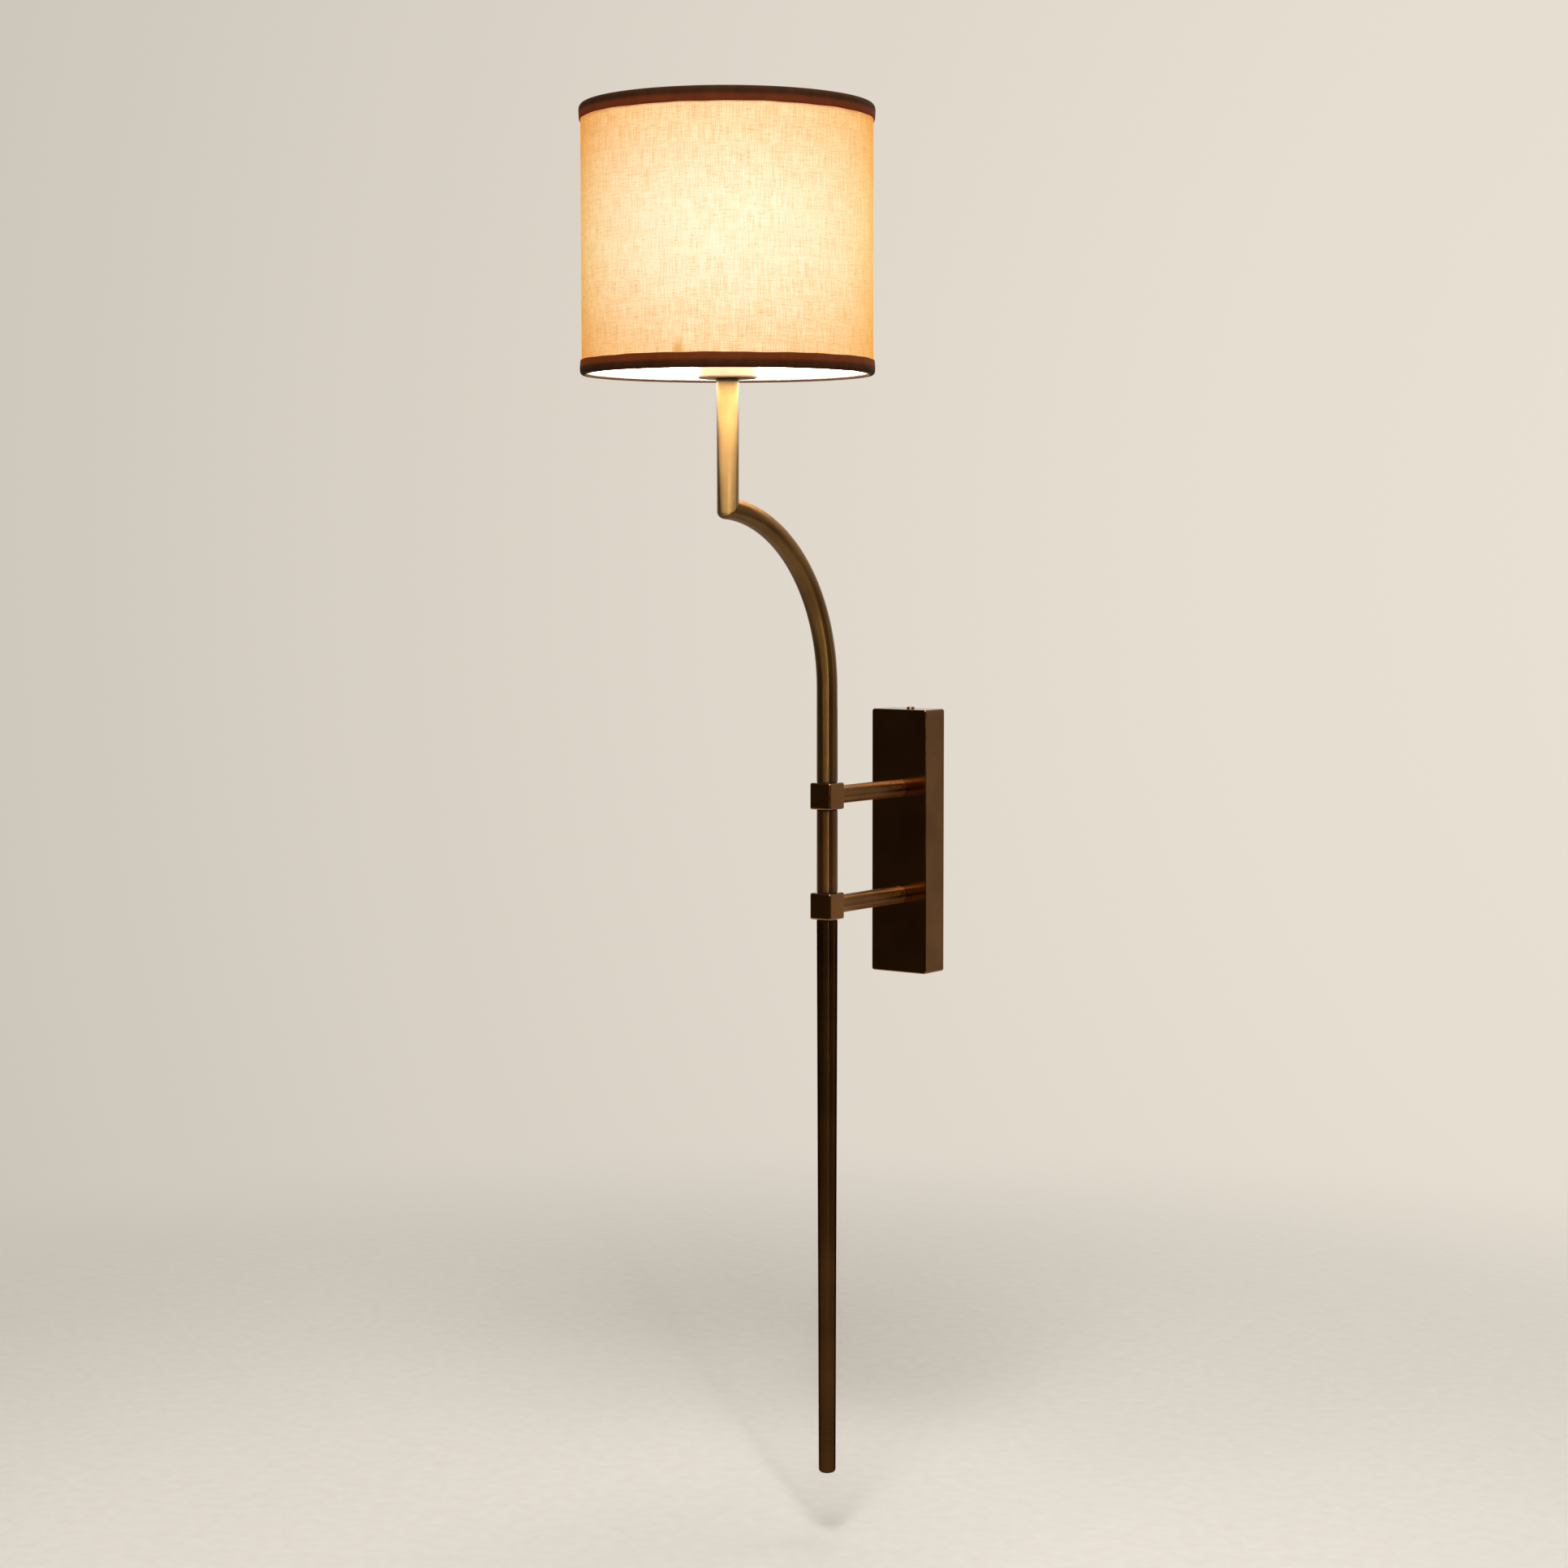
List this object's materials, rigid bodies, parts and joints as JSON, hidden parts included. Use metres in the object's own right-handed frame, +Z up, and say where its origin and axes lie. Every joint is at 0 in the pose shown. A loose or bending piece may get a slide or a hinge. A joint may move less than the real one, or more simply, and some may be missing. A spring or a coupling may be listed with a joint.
{
  "type": "swing arm wall sconce",
  "caption": "Wall sconce with a lit linen drum shade on a curved brass arm that swings on square swivel blocks, with a long tapering tail and a slim canopy.",
  "frame": {"origin": "on the wall plane, at the centre of the strap that is screwed to the wall", "axes": "+X right when facing the wall, +Y into the wall, +Z up"},
  "size_m": [0.2, 0.333, 0.9657],
  "materials": {
    "antique_brass": "antique brass, satin, lacquered",
    "turned_brass": "plain turned brass",
    "zinc_steel": "zinc plated steel",
    "dark_nylon": "black nylon",
    "black_rubber": "black rubber",
    "white_nylon": "white nylon",
    "black_phenolic": "moulded phenolic, satin",
    "white_ceramic": "glazed ceramic",
    "nickel_cap": "nickel plated lamp cap",
    "bulb_plastic": "white moulded plastic",
    "opal_globe": "opal, lit",
    "lit_linen": "slub linen on a clear backing, lit from inside",
    "brown_tape": "brown woven tape",
    "white_wire": "white coated steel wire",
    "clear_flex": "round two-core flex with a gold sheath"
  },
  "bodies": {
    "wall_mount": {"wall_strap": "zinc_steel", "canopy": "antique_brass", "canopy_screws": "antique_brass", "cable_grommet": "black_rubber", "earth_screw": "turned_brass", "terminal_block": "white_nylon", "terminal_sleeves": "turned_brass", "terminal_screws": "zinc_steel", "upper_arm": "antique_brass", "lower_arm": "antique_brass", "arm_nipples": "turned_brass", "arm_washers": "zinc_steel", "arm_nuts": "zinc_steel", "upper_block": "antique_brass", "lower_block": "antique_brass", "swivel_bushes": "dark_nylon", "stop_screw": "zinc_steel", "fixed_flex": "clear_flex"},
    "swing_arm": {"spindle": "turned_brass", "middle_tube": "antique_brass", "tail_rod": "antique_brass", "curved_arm": "antique_brass", "arm_plug": "turned_brass", "riser_tube": "antique_brass", "riser_plug": "turned_brass", "neck_washer": "dark_nylon", "holder_nipple": "turned_brass", "socket_cup": "antique_brass", "cup_nut": "zinc_steel", "holder_base": "black_phenolic", "holder_insert": "white_ceramic", "centre_contact": "turned_brass", "screw_shell": "turned_brass", "holder_skirt": "black_phenolic", "clamp_ring": "turned_brass", "bulb_cap": "nickel_cap", "bulb_body": "bulb_plastic", "bulb_globe": "opal_globe", "swing_flex": "clear_flex"},
    "shade": {"shade_skin": "lit_linen", "shade_top_ring": "white_wire", "shade_frame": "white_wire", "top_trim": "brown_tape", "bottom_trim": "brown_tape"}
  },
  "joints": [
    {"name": "arm_swing", "type": "hinge", "parent": "wall_mount", "child": "swing_arm", "pos_m": [0, -0.116, 0], "axis": [0, 0, 1], "range_deg": [-90, 90]},
    {"name": "shade_turn", "type": "hinge", "parent": "swing_arm", "child": "shade", "pos_m": [0, -0.233, 0.42], "axis": [0, 0, 1], "continuous": true}
  ]
}
